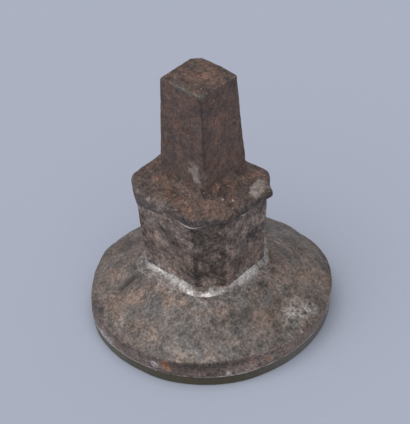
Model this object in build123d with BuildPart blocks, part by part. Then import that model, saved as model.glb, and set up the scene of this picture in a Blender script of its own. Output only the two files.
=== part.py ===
from build123d import *
import os
from math import hypot, pi, sqrt

# Wax seal stamp: an iron matrix with a square tang for a handle, standing on its brass seal face.
# Millimetres, Z up along the axis, the seal face on Z = 0 and the tang pointing up.

# Seal plate, a brass disc with the device sunk into its underside
plate_thickness = 1.6
plate_inset = 0.2
plate_edge_break = 0.2
engraving_depth = 0.45
border_margin = 1.7
border_line_width = 0.5
pearl_radius = 0.6
pearl_gap = 0.55
pearl_pitch = 2.9
petal_margin = 1.4
petal_count = 8
petal_start_radius = 2.6
petal_half_width = 1.9
rosette_eye_radius = 1.3

# Solder film that holds the plate under the foot
film_thickness = 0.25
film_inset = 0.15

# Foot, a round iron disc with a straight wall and a conical top
foot_diameter = 36.4
foot_wall_height = 2.6
foot_height = 8.15
foot_ridge_radius = 0.7
land_margin = 0.1

# Neck, a square block with cut corners that widens upwards
neck_height = 12.9
neck_foot_width = 15.4
neck_head_width = 16.7
neck_corner_cut = 3.3

# Solder bead round the foot of the neck
bead_height = 0.95
bead_width = 1.0

# Tang forging: collar with an overhanging lip, square tapered tang above, tenon below
lip_overhang = 0.45
lip_height = 0.7
collar_rise = 2.0
collar_fillet = 0.9
tang_length = 16.5
tang_foot_width = 8.8
tang_head_width = 7.5
tang_corner_cut = 0.5
tang_head_round = 0.45
tenon_width = 7.0
rivet_diameter = 6.0
rivet_head_diameter = 9.2

# Room round the tenon, the rivet and its head
fit_clearance = 0.05

# Heights from the bottom up
film_bottom = plate_thickness
foot_bottom = film_bottom + film_thickness
foot_wall_top = foot_bottom + foot_wall_height
foot_top = foot_bottom + foot_height
neck_top = foot_top + neck_height
lip_top = neck_top + lip_height
collar_top = lip_top + collar_rise
tang_top = collar_top + tang_length

foot_radius = foot_diameter / 2
plate_radius = foot_radius - plate_inset
border_line_radius = plate_radius - border_margin
pearl_circle_radius = border_line_radius - border_line_width / 2 - pearl_gap - pearl_radius
pearl_count = round(2 * pi * pearl_circle_radius / pearl_pitch)
inner_line_radius = pearl_circle_radius - pearl_radius - pearl_gap - border_line_width / 2
petal_tip_radius = inner_line_radius - petal_margin
bead_flat_distance = neck_foot_width / 2 + bead_width
bead_corner_distance = (neck_foot_width - neck_corner_cut) / sqrt(2) + bead_width
bead_corner_edge = sqrt(2) * bead_corner_distance - bead_flat_distance
land_radius = hypot(bead_flat_distance, bead_corner_edge) + land_margin
rivet_radius = rivet_diameter / 2
rivet_head_radius = rivet_head_diameter / 2

os.makedirs("parts", exist_ok=True)


# Seal plate: disc, then border lines, a ring of pearls and an eight-petal rosette cut from below
with BuildPart() as seal_plate:
    with BuildSketch():
        Circle(plate_radius)
    extrude(amount=plate_thickness)
    chamfer(seal_plate.faces().sort_by(Axis.Z)[0].edges(), length=plate_edge_break)
    with BuildSketch():
        for line_radius in (border_line_radius, inner_line_radius):
            Circle(line_radius + border_line_width / 2)
            Circle(line_radius - border_line_width / 2, mode=Mode.SUBTRACT)
        Circle(rosette_eye_radius)
    extrude(amount=engraving_depth, mode=Mode.SUBTRACT)
    with BuildSketch():
        with PolarLocations((petal_start_radius + petal_tip_radius) / 2, petal_count):
            Ellipse((petal_tip_radius - petal_start_radius) / 2, petal_half_width)
    extrude(amount=engraving_depth, mode=Mode.SUBTRACT)
    with PolarLocations(pearl_circle_radius, pearl_count):
        Sphere(pearl_radius, mode=Mode.SUBTRACT)
seal_plate.part.label = "seal_plate"
export_step(seal_plate.part, "parts/seal_plate.step")


# Solder film between plate and foot
with BuildPart() as plate_solder:
    with BuildSketch(Plane.XY.offset(film_bottom)):
        Circle(foot_radius - film_inset)
    extrude(amount=film_thickness)
plate_solder.part.label = "plate_solder"
export_step(plate_solder.part, "parts/plate_solder.step")


# Foot: straight wall, rounded ridge, cone and a flat land for the neck and its bead,
# drilled for the rivet, with a countersink below for the peened head
with BuildPart() as foot:
    with BuildSketch(Plane.XZ) as foot_profile:
        with BuildLine():
            Polyline(
                (0, foot_bottom),
                (foot_radius, foot_bottom),
                (foot_radius, foot_wall_top),
                (land_radius, foot_top),
                (0, foot_top),
                close=True,
            )
        make_face()
        ridge_corner = foot_profile.vertices().sort_by(Axis.X)[-2:].sort_by(Axis.Y)[-1]
        fillet(ridge_corner, radius=foot_ridge_radius)
    revolve(axis=Axis.Z)
    with Locations(Location((0, 0, foot_bottom), (180, 0, 0))):
        CounterSinkHole(
            radius=rivet_radius + fit_clearance,
            counter_sink_radius=rivet_head_radius + fit_clearance,
            depth=foot_height,
            counter_sink_angle=90,
        )
foot.part.label = "foot"
export_step(foot.part, "parts/foot.step")


# Neck before the mortise is cut
with BuildPart() as neck_blank:
    for level, width in ((foot_top, neck_foot_width), (neck_top, neck_head_width)):
        with BuildSketch(Plane.XY.offset(level)) as neck_section:
            Rectangle(width, width)
            chamfer(neck_section.vertices(), length=neck_corner_cut)
    loft(ruled=True)

# Neck: square mortise right through for the tenon
with BuildPart() as neck:
    add(neck_blank.part)
    with BuildSketch(Plane.XY.offset(foot_top)):
        Rectangle(tenon_width + 2 * fit_clearance, tenon_width + 2 * fit_clearance)
    extrude(amount=neck_height, mode=Mode.SUBTRACT)
neck.part.label = "neck"
export_step(neck.part, "parts/neck.step")


# Solder bead: sloping ring in the corner between the neck and the foot
with BuildPart() as neck_solder:
    for level, spread in ((foot_top, bead_width), (foot_top + 2 * bead_height, -bead_width)):
        with BuildSketch(Plane.XY.offset(level)) as bead_section:
            Rectangle(neck_foot_width, neck_foot_width)
            chamfer(bead_section.vertices(), length=neck_corner_cut)
            offset(amount=spread, kind=Kind.INTERSECTION)
    loft(ruled=True)
    add(neck_blank.part, mode=Mode.SUBTRACT)
neck_solder.part.label = "neck_solder"
export_step(neck_solder.part, "parts/neck_solder.step")


# Tang forging, from the collar up and then from the collar down
with BuildPart() as tang:
    lip_width = neck_head_width + 2 * lip_overhang
    with BuildSketch(Plane.XY.offset(neck_top)) as lip_section:
        Rectangle(lip_width, lip_width)
        chamfer(lip_section.vertices(), length=neck_corner_cut)
    extrude(amount=lip_height)
    slope_levels = ((lip_top, lip_width, neck_corner_cut), (collar_top, tang_foot_width, tang_corner_cut))
    for level, width, corner_cut in slope_levels:
        with BuildSketch(Plane.XY.offset(level)) as slope_section:
            Rectangle(width, width)
            chamfer(slope_section.vertices(), length=corner_cut)
    loft(ruled=True)
    for level, width in ((collar_top, tang_foot_width), (tang_top, tang_head_width)):
        with BuildSketch(Plane.XY.offset(level)) as tang_section:
            Rectangle(width, width)
            chamfer(tang_section.vertices(), length=tang_corner_cut)
    loft(ruled=True)
    tang_foot_edges = tang.edges().filter_by_position(Axis.Z, collar_top, collar_top)
    fillet(tang_foot_edges, radius=collar_fillet)
    fillet(tang.faces().sort_by(Axis.Z)[-1].edges(), radius=tang_head_round)
    with BuildSketch(Plane.XY.offset(neck_top)):
        Rectangle(tenon_width, tenon_width)
    extrude(amount=-neck_height)
    with BuildSketch(Plane.XY.offset(foot_top)):
        Circle(rivet_radius)
    extrude(amount=-foot_height)
    with BuildSketch(Plane.XZ):
        with BuildLine():
            Polyline(
                (0, foot_bottom),
                (rivet_head_radius, foot_bottom),
                (rivet_radius, foot_bottom + rivet_head_radius - rivet_radius),
                (0, foot_bottom + rivet_head_radius - rivet_radius),
                close=True,
            )
        make_face()
    revolve(axis=Axis.Z)
tang.part.label = "tang"
export_step(tang.part, "parts/tang.step")
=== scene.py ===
import math
from functools import partial
from itertools import product

import bpy
import numpy as np
from mathutils import Matrix, Vector


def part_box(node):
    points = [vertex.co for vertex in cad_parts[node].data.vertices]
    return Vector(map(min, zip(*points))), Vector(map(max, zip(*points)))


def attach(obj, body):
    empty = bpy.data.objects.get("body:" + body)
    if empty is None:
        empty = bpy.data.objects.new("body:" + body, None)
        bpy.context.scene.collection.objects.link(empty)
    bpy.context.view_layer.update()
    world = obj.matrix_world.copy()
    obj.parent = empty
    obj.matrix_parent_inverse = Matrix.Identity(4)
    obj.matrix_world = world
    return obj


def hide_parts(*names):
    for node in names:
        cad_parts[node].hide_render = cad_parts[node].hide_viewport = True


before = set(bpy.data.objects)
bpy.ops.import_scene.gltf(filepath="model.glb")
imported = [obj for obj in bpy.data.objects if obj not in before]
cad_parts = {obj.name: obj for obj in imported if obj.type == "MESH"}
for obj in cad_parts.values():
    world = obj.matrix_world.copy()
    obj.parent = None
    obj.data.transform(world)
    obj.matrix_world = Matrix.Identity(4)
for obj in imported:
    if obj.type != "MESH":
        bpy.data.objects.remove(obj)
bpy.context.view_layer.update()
print("frame:", ", ".join(sorted(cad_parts)))

mm = 0.001  # shapes are worked out in millimetres and stored in metres


def nodeBox(node):  # lowest and highest corner of a CAD node, in mm
    low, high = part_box(node)
    return np.array(low) / mm, np.array(high) / mm


plateReach, _, plateTop = nodeBox("seal_plate")[1]
filmReach = nodeBox("plate_solder")[1][0]
footBottom = nodeBox("foot")[0][2]
footReach, _, footTop = nodeBox("foot")[1]
beadTop = nodeBox("neck_solder")[1][2]
neckTop = nodeBox("neck")[1][2]
tangTop = nodeBox("tang")[1][2]


# Surface noise, the same on every run

bits32 = 0xFFFFFFFF
pitSmallest, pitSpread = 0.18, 0.4  # radius of a pit, as a share of the pits' spacing


def cellRandom(cell, seed):  # 0 to 1 for each cell of a lattice, by mixing the bits of its place
    n = cell[..., 0] * 374761393 + cell[..., 1] * 668265263
    n = (n + cell[..., 2] * 1440662683 + seed * 974634721) & bits32
    n = ((n ^ (n >> 15)) * 739982445) & bits32
    n = ((n ^ (n >> 12)) * 695872825) & bits32
    return (n ^ (n >> 15)) / bits32


def softNoise(points, size, seed):  # -1 to 1, lumps about as wide as size
    place = points / size
    cell = np.floor(place).astype(np.int64)
    part = place - cell
    part = part * part * (3 - 2 * part)
    total = 0
    for corner in product((0, 1), repeat=3):
        share = np.prod(np.where(np.array(corner) == 1, part, 1 - part), axis=-1)
        total = total + share * cellRandom(cell + np.array(corner), seed)
    return 2 * total - 1


def layeredNoise(points, size, seed, layers=3):
    return sum(softNoise(points, size / 2 ** n, seed + n) / 2 ** n for n in range(layers))


def ripple(points, wave, seed):  # layered noise with this (height, width)
    height, width = wave
    return height * layeredNoise(points, width, seed)


def pitted(points, spacing, seed, share):  # 0 on the sound surface, up to 1 at the bottom of a pit
    place = points / spacing
    cell = np.floor(place).astype(np.int64)
    depth = np.zeros(points.shape[:-1])
    for step in product((-1, 0, 1), repeat=3):
        near = cell + np.array(step)
        centre = near + np.stack([cellRandom(near, seed + n) for n in range(3)], axis=-1)
        radius = pitSmallest + pitSpread * cellRandom(near, seed + 3)
        gap = np.linalg.norm(place - centre, axis=-1) / radius
        pit = np.clip(1 - gap ** 2, 0, 1) * radius / (pitSmallest + pitSpread)
        there = cellRandom(near, seed + 4) < share
        depth = np.maximum(depth, np.where(there, pit, 0))
    return depth


def weathered(points, look, seed, seen=1.0):  # dents and grit less the pits, and the pits alone
    gritDepth, gritSize = look["grit"]
    pitDepth, spacing, share = look["pits"]
    pits = pitted(points, spacing, seed, share) * seen
    grit = gritDepth * softNoise(points, gritSize, seed + 5)
    return ripple(points, look["dents"], seed + 1) + grit - pitDepth * pits, pits


# Rings round the axis

def ringAngles(count):
    return np.linspace(-math.pi, math.pi, count, endpoint=False)


squareFacings = (-90, 0, 90, 180)


def outline(angles, facings, reaches, sharpness):  # reach of a ring of flats, nearness to a corner
    turns = [angles - math.radians(facing) for facing in facings]
    pull = np.array([np.clip(np.cos(turn) / reach, 0, None) for turn, reach in zip(turns, reaches)])
    pull = pull ** sharpness
    total = pull.sum(0)
    return total ** (-1 / sharpness), 2 * (1 - pull.max(0) / total)


def along(first, last, share):  # part of the way from some values to others
    return tuple(a + (b - a) * share for a, b in zip(first, last))


def bend(first, middle, last, share):  # the same on a soft curve that leans towards the middle
    a, b, c = (1 - share) ** 2, 2 * share * (1 - share), share ** 2
    return tuple(a * p + b * q + c * r for p, q, r in zip(first, middle, last))


def roundTrip(angles, pairs, passes=40):  # soft curve round the axis through (degrees, value) pairs
    degrees, values = np.array(pairs, float).T
    values = np.interp(np.degrees(angles), degrees, values, period=360)
    for _ in range(passes):
        values = (np.roll(values, 1) + 2 * values + np.roll(values, -1)) / 4
    return values


def bearing(angles, centre):  # degrees away from a direction, -180 to 180
    return (np.degrees(angles) - centre + 180) % 360 - 180


def spot(gap, halfWidth):  # 1 in the middle, fading softly
    return np.exp(-(gap / halfWidth) ** 2)


def patches(angles, places):  # soft spots from (bearing, half width in degrees, height)
    return sum(top * spot(bearing(angles, facing), width) for facing, width, top in places)


raggedSize, raggedShare = 1.4, 0.4  # width of ragged edges in mm, and depth as a share of the stain


def stained(grid, stains):  # marks from (bearing, radius, height, size, then one strength or more)
    drift = np.stack([layeredNoise(grid, raggedSize, 90 + 5 * n) for n in range(3)], axis=-1)
    total = 0
    for facing, reach, height, size, *strengths in stains:
        turn = math.radians(facing)
        centre = np.array([reach * math.cos(turn), reach * math.sin(turn), height])
        gap = np.linalg.norm(grid + raggedShare * size * drift - centre, axis=-1)
        total = total + np.exp(-(gap / size) ** 3) * np.array(strengths)[:, None, None]
    return np.clip(total, -1, 1)


def ringGrid(angles, rows):  # points from rows of (radius, height) round the axis
    radius = np.array([row[0] + 0 * angles for row in rows])
    height = np.array([row[1] + 0 * angles for row in rows])
    return np.stack([radius * np.cos(angles), radius * np.sin(angles), height], axis=-1)


def pushOut(grid, amount, looped):  # moves each point along the surface normal
    around = np.roll(grid, -1, 1) - np.roll(grid, 1, 1)
    upward = np.roll(grid, -1, 0) - np.roll(grid, 1, 0) if looped else np.gradient(grid, axis=0)
    normal = np.cross(around, upward)
    normal = normal / np.maximum(np.linalg.norm(normal, axis=-1, keepdims=True), 1e-9)
    return grid + normal * amount[..., None]


def keepInside(grid, reach):  # no lump stands out of the CAD box
    grid[..., :2] = np.clip(grid[..., :2], -reach, reach)
    grid[..., 2] = np.clip(grid[..., 2], 0, tangTop)
    return grid


sharpFold = math.radians(62)  # folds steeper than this stay crisp


def makePiece(name, node, finish, grid, marks, looped=False):
    rows, around = grid.shape[:2]
    points = grid.reshape(-1, 3)
    marks = {mark: np.asarray(values, float).ravel() for mark, values in marks.items()}
    index = np.arange(rows * around).reshape(rows, around)
    lower = index if looped else index[:-1]
    upper = np.roll(index, -1, 0) if looped else index[1:]
    faces = np.stack([lower, np.roll(lower, -1, 1), np.roll(upper, -1, 1), upper], axis=-1)
    faces = faces.reshape(-1, 4).tolist()
    if not looped:  # close both ends with a fan
        first, last = index[0], index[-1]
        points = np.vstack([points, points[first].mean(0), points[last].mean(0)])
        for mark, values in marks.items():
            marks[mark] = np.append(values, [values[first].mean(), values[last].mean()])
        middle = rows * around
        faces += [[b, a, middle] for a, b in zip(first.tolist(), np.roll(first, -1).tolist())]
        faces += [[a, b, middle + 1] for a, b in zip(last.tolist(), np.roll(last, -1).tolist())]
    mesh = bpy.data.meshes.new(name)
    mesh.from_pydata((points * mm).tolist(), [], faces)
    for mark, values in marks.items():
        layer = mesh.attributes.new(mark, "FLOAT", "POINT")
        layer.data.foreach_set("value", values.astype(np.float32))
    mesh.shade_smooth()
    mesh.set_sharp_from_angle(angle=sharpFold)
    mesh.materials.append(finish)
    piece = bpy.data.objects.new(name, mesh)
    bpy.context.scene.collection.objects.link(piece)
    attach(piece, "root")
    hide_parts(node)
    print("piece:", name, len(points), "points")


# Materials

gritSpan = (0.3, 0.7)  # most of what a fine noise gives
shadeGain = 0.16  # how far the shade mark lifts a mottle
# How far each mark lifts a pattern, then the values between which the upper colour comes through
limits = {
    "bloom": (0.36, 0.33, 0.88), "rub": (0.5, 0.66, 0.95), "hue": (0.25, 0.34, 0.66),
    "smear": (0.5, 0.62, 1.0), "rust": (0.5, 0.66, 0.9), "dirt": (0.5, 0.48, 0.98),
}


def colour(code):  # sRGB hex to linear
    parts = [int(code[n:n + 2], 16) / 255 for n in (1, 3, 5)]
    return [c / 12.92 if c <= 0.04045 else ((c + 0.055) / 1.055) ** 2.4 for c in parts] + [1]


def perMetre(size):  # texture scale for a pattern of this size in mm
    return 1 / (size * mm)


def addNode(tree, kind, inputs, output=0, **settings):  # adds a node with its settings and links
    node = tree.nodes.new("ShaderNode" + kind)
    for key, value in settings.items():
        setattr(node, key, value)
    for socket, value in inputs.items():
        if isinstance(value, bpy.types.NodeSocket):
            tree.links.new(value, node.inputs[socket])
        else:
            node.inputs[socket].default_value = value
    return node.outputs[output]


def newFinish(name):  # a material, what adds nodes to it, and the place on the object
    finish = bpy.data.materials.new(name)
    finish.use_nodes = True
    put = partial(addNode, finish.node_tree)
    return finish, put, put("TexCoord", {}, "Object")


def readMarks(put, names):
    return [put("Attribute", {}, "Fac", attribute_name=name) for name in names.split()]


def layOver(put, skin, tint, mark, pattern=None, limit=None):  # tint where mark and pattern add up
    share = mark
    if limit:
        gain, start, full = limit
        push = put("Math", {0: mark, 1: gain, 2: pattern}, operation="MULTIPLY_ADD")
        share = put("MapRange", {"Value": push, "From Min": start, "From Max": full})
    return put("MixRGB", {"Fac": share, "Color1": skin, "Color2": colour(tint)}), share


def toneBy(put, skin, share, pattern, span, tones, curve=1.0):  # skin times a pattern's tones
    tone = put("MapRange", {"Value": pattern, "From Min": span[0], "From Max": span[1],
                            "To Min": tones[0], "To Max": tones[1]})
    if curve != 1:
        tone = put("Math", {0: tone, 1: curve}, operation="POWER")
    return put("MixRGB", {"Fac": share, "Color1": skin, "Color2": tone}, blend_type="MULTIPLY")


def dress(put, finish, skin, bare, metals, polish, roughs, relief, bump):  # links all to the shader
    values = {
        "Base Color": skin,
        "Metallic": put("MapRange", {"Value": bare, "To Min": metals[0], "To Max": metals[1]}),
        "Roughness": put("MapRange", {"Value": polish, "To Min": roughs[0], "To Max": roughs[1]}),
        "Normal": put("Bump", {"Height": relief, "Strength": bump[0], "Distance": bump[1] * mm}),
    }
    shader = finish.node_tree.nodes["Principled BSDF"]
    for socket, value in values.items():
        finish.node_tree.links.new(value, shader.inputs[socket])
    return finish


# Forged iron, left to rust: dark brown scale that swallows light, orange blooms of rust, black
# pits, grey steel where edges are rubbed bare, and painted glints on the lip's burrs and a few
# collar grains
def forgedIron(look):
    finish, put, place = newFinish("forged_iron_rusted")
    marks = readMarks(put, "rust shade rub pale burr pit coarse")
    rust, shade, rub, pale, burr, pit, coarse = marks
    bloom = put("TexNoise", {"Vector": place, "Scale": perMetre(look["bloomSize"]),
                             "Detail": 3.0, "Roughness": 0.65, "Distortion": 0.4})
    mottle = put("TexNoise", {"Vector": place, "Scale": perMetre(look["mottleSize"]), "W": 2.6,
                              "Detail": 4.0, "Roughness": 0.95}, noise_dimensions="4D")
    grain = put("TexNoise", {"Vector": place, "Scale": perMetre(look["grainSize"]),
                             "Detail": 2.0, "Roughness": 0.6})
    scale = colour(look["darkScale"])
    skin, _ = layOver(put, scale, look["orangeRust"], rust, bloom, limits["bloom"])
    skin, bare = layOver(put, skin, look["bareSteel"], rub, mottle, limits["rub"])
    skin, _ = layOver(put, skin, look["paleCrust"], pale, mottle, limits["rub"])
    blotch = put("Math", {0: shade, 1: shadeGain, 2: mottle}, operation="MULTIPLY_ADD")
    skin = toneBy(put, skin, coarse, blotch, (0.34, 0.66), (0.25, 1.75))
    skin = toneBy(put, skin, coarse, grain, gritSpan, (0.4, 1.6))
    skin, _ = layOver(put, skin, look["pitBlack"], pit)
    # painted glints: a bright grain in the middle of every third cell or so, on the collar only
    cells = put("TexVoronoi", {"Vector": place, "Scale": perMetre(look["speckSpacing"])})
    middle = put("MapRange", {"Value": cells, "From Min": 0.04, "From Max": 0.13,
                              "To Min": 1.0, "To Max": 0.0})
    picked = put("Math", {0: cells.node.outputs["Color"], 1: 0.66}, operation="GREATER_THAN")
    onCollar = put("MapRange", {"Value": coarse, "From Min": 0.6, "From Max": 0.9, "To Max": 0.7})
    bright = put("Math", {0: middle, 1: picked}, operation="MULTIPLY")
    bright = put("Math", {0: bright, 1: onCollar}, operation="MULTIPLY")
    bright = put("Math", {0: bright, 1: burr}, operation="MAXIMUM")
    skin, _ = layOver(put, skin, look["glintWhite"], bright)
    relief = put("Math", {0: grain, 1: mottle}, operation="ADD")
    return dress(put, finish, skin, bare, (0.0, 0.4), bare, (0.78, 0.5), relief, (0.5, 0.08))


# Cast and filed iron with a handled patina: satin tan and cool grey in ragged patches, mottled
# from several millimetres down to a fine grit, paler where it was rubbed
def patinatedIron(name, look):
    finish, put, place = newFinish(name)
    warm, shade, rub, rust, smear, pit = readMarks(put, "warm shade rub rust smear pit")
    drawn = put("Mapping", {"Vector": place, "Rotation": (0.0, 0.6, 0.0),
                            "Scale": (look["streak"], 1.0, 1.0)}, vector_type="TEXTURE")
    hue = put("TexNoise", {"Vector": place, "Scale": perMetre(look["hueSize"]), "W": 4.7,
                           "Detail": 3.0, "Roughness": 0.7, "Distortion": 0.5},
              noise_dimensions="4D")
    mottle = put("TexNoise", {"Vector": drawn, "Scale": perMetre(look["mottleSize"]), "W": 1.9,
                              "Detail": 5.0, "Roughness": 1.0, "Distortion": 0.2},
                 noise_dimensions="4D")
    grain = put("TexNoise", {"Vector": place, "Scale": perMetre(look["grainSize"]),
                             "Detail": 2.0, "Roughness": 0.7})
    skin, _ = layOver(put, colour(look["coolGrey"]), look["tan"], warm, hue, limits["hue"])
    skin, rubbed = layOver(put, skin, look["paleIron"], rub, mottle, limits["rub"])
    skin, smeared = layOver(put, skin, look["solderSmear"], smear, mottle, limits["smear"])
    skin, _ = layOver(put, skin, look["orangeRust"], rust, mottle, limits["rust"])
    blotch = put("Math", {0: shade, 1: shadeGain, 2: mottle}, operation="MULTIPLY_ADD")
    skin = toneBy(put, skin, 1.0, blotch, (0.36, 0.64), look["tones"], look["curve"])
    gritty = put("MapRange", {"Value": shade, "From Min": -0.6, "From Max": 0.6,
                              "To Min": 0.55, "To Max": 1.0})
    skin = toneBy(put, skin, gritty, grain, gritSpan, (0.35, 1.65))
    skin, _ = layOver(put, skin, look["speck"], pit)
    bare = put("Math", {0: rubbed, 1: smeared}, operation="MAXIMUM")
    polish = put("MapRange", {"Value": mottle, "From Min": 0.35, "From Max": 0.65})
    relief = put("Math", {0: grain, 1: mottle}, operation="ADD")
    return dress(put, finish, skin, bare, (0.2, 0.7), polish, (0.7, 0.45), relief, (0.8, 0.08))


# Soft solder, melted in and later rubbed: dull silver with a rounded shine, brown dirt in the lows
def softSolder(name, look):
    finish, put, place = newFinish(name)
    dirt, = readMarks(put, "dirt")
    cloud = put("TexNoise", {"Vector": place, "Scale": perMetre(look["cloudSize"]),
                             "Detail": 5.0, "Roughness": 0.95})
    grain = put("TexNoise", {"Vector": place, "Scale": perMetre(look["grainSize"]),
                             "Detail": 2.0, "Roughness": 0.6})
    skin, dirty = layOver(put, colour(look["silver"]), look["dirt"], dirt, cloud, limits["dirt"])
    skin = toneBy(put, skin, dirty, cloud, (0.36, 0.64), (1.45, 0.55))
    skin = toneBy(put, skin, 1.0, grain, gritSpan, (0.6, 1.4))
    return dress(put, finish, skin, dirty, (0.9, 0.2), dirty, (0.46, 0.65), grain, (0.4, 0.05))


# Engraved brass, long tarnished: dark olive film on the edge and in the cuts, and dull gold
# on the face where wax and fingers kept it clean
def engravedBrass(look):
    finish, put, place = newFinish("engraved_brass_tarnished")
    clean, dust = readMarks(put, "clean dust")
    cloud = put("TexNoise", {"Vector": place, "Scale": perMetre(look["cloudSize"]),
                             "Detail": 5.0, "Roughness": 0.65})
    grain = put("TexNoise", {"Vector": place, "Scale": perMetre(look["grainSize"]),
                             "Detail": 2.0, "Roughness": 0.6})
    brown = put("MapRange", {"Value": cloud, "From Min": 0.35, "From Max": 0.65})
    broken = put("MapRange", {"Value": cloud, "From Min": 0.3, "From Max": 0.55,
                              "To Min": 0.35, "To Max": 1.0})
    bare = put("Math", {0: clean, 1: broken}, operation="MULTIPLY")
    skin, _ = layOver(put, colour(look["oliveFilm"]), look["brownFilm"], brown)
    # painted floor light: a grey sheen over the edge
    skin, _ = layOver(put, skin, look["floorSheenGrey"], dust)
    skin, _ = layOver(put, skin, look["rubbedBrass"], bare)
    skin = toneBy(put, skin, 1.0, grain, (0.25, 0.75), (0.72, 1.28))
    return dress(put, finish, skin, bare, (0.3, 0.9), bare, (0.6, 0.4), grain, (0.4, 0.04))


# Neck: square block with cut corners, wider at the top, its corners cut unequally
neck = {
    "around": 400, "rows": 86, "sharpness": 90, "mortise": 3.55,
    # bearing of each flat, and its distance at the foot and at the head
    "facings": (-90, -45.4, 0, 43.8, 90, 135, 180, -136.2),
    "foot": (7.7, 8.56, 7.72, 8.1, 7.7, 8.56, 7.7, 9.2),
    "head": (8.3, 9.45, 8.4, 9.0, 8.3, 9.4, 8.35, 10.05),
    # depth and width of dents and of grit, then depth, spacing and share of pits
    "dents": (0.05, 2.6), "grit": (0.015, 0.5), "pits": (0.06, 1.0, 0.4),
    # bearing, radius, height, size, then how much warmer and how much lighter
    "stains": [
        (-112, 8.9, 20.6, 2, -0.1, 0.4), (-111, 8.4, 12.7, 1.6, 0.2, -0.2),
        (-109, 8.4, 14.6, 1.1, 0, 0.5), (-106, 8.3, 16.6, 2, 0.3, 0.4),
        (-104, 8.6, 21.6, 1.3, 0, 0.5), (-97, 9, 22.6, 1, -0.1, 0.7), (-97, 8, 13.6, 0.8, 0, -0.4),
        (-92, 7.9, 13.4, 1.5, 0.2, 0.35), (-90, 8.7, 22.3, 1, -0.1, 0.7),
        (-76, 8, 13.6, 1.2, 0, 0.2), (-66, 9.2, 20.3, 0.9, 0, -0.4),
        (-60, 9, 17.5, 0.8, -0.1, -0.4), (-49, 8.7, 11.2, 1, 0, 0.8),
        (-45, 8.7, 11.8, 1.2, 0, 0.35), (-38, 8.9, 15.4, 1.1, -0.1, -0.4),
        (-35, 8.8, 13.6, 1.2, -0.2, -0.4), (-33, 9.1, 19.6, 1.2, 0.1, 0.35),
        (-33, 9.3, 21.8, 1, 0.1, 0.5), (-15, 8.2, 13.2, 1.3, 0, -0.2),
        (-9, 8.3, 19, 1.5, 0.5, 0.25), (-9, 8.4, 20.6, 0.8, 0.3, -0.4),
        (3, 8.5, 20.8, 1.2, 0, -0.35), (5, 8.1, 17.3, 1, -1, -0.05),
    ],
    "rust": [(-34.8, 8.8, 11, 0.6, 0.9)],
    "front": (-45.4, 15.0),  # bearing and half width in degrees of the dark front facet
    "frontShade": -0.34, "edgeLightStep": 0.16, "edgeSoft": 4.0,  # its shade, and a painted step of light and shade at its edges
    "cornerRub": 0.15, "rubSize": 1.5,
    "smear": [
        (-150, 0.1), (-126, 0.4), (-90, 0.5), (-66, 0.4), (-55, 0.15), (-30, 0.15), (-20, 0.4),
        (15, 0.55), (30, 0.4), (60, 0.2), (180, 0.2),
    ],
    "smearReach": 0.8,  # how far above the bead
    "hueSize": 3.4, "mottleSize": 3.2, "grainSize": 0.4,  # grit of 0.1 mm, drawn coarser to show
    "streak": 1.4, "tones": (0.45, 1.6), "curve": 1.8,
    "coolGrey": "#625a56", "tan": "#7d6b60", "paleIron": "#9b9391", "solderSmear": "#a8a1a0",
    "speck": "#3a3433", "orangeRust": "#7d5a44",
}
angles = ringAngles(neck["around"])
rows, corners = [], []
for share in np.linspace(0, 1, neck["rows"]):
    reaches = along(neck["foot"], neck["head"], share)
    reach, corner = outline(angles, neck["facings"], reaches, neck["sharpness"])
    rows.append((reach, footTop + (neckTop - footTop) * share))
    corners.append(corner)
mortise = outline(angles, squareFacings, [neck["mortise"]] * 4, neck["sharpness"])[0]
rows += [(mortise, neckTop), (mortise, footTop)]
corners += [0 * angles] * 2
grid = ringGrid(angles, rows)
dents, pits = weathered(grid, neck, 31)
dents[[0, -3, -2, -1]] = 0  # both ends and the mortise stay true
grid = pushOut(grid, dents, looped=True)
warm, shade = stained(grid, neck["stains"])
facing, halfWidth = neck["front"]
fromFront = bearing(angles, facing)
pastEdge = abs(fromFront) - halfWidth
shade = shade + neck["frontShade"] * np.exp(-(fromFront / halfWidth) ** 16)
# painted light and shade at the front facet's edges: lighter just outside, darker just inside
shade = shade + neck["edgeLightStep"] * np.sign(pastEdge) * spot(pastEdge, neck["edgeSoft"])
patchy = np.clip(0.6 + softNoise(grid, neck["rubSize"], 38), 0, 1)
aboveBead = np.clip(grid[..., 2] - beadTop, 0, None)
neckMarks = {
    "warm": warm, "shade": shade, "rub": neck["cornerRub"] * np.array(corners) * patchy,
    "rust": stained(grid, neck["rust"])[0],
    "smear": roundTrip(angles, neck["smear"], passes=12) * spot(aboveBead, neck["smearReach"]),
    "pit": 0.5 * pits,
}
neckFinish = patinatedIron("filed_iron_patinated", neck)
makePiece("neck_block", "neck", neckFinish, grid, neckMarks, looped=True)


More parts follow.
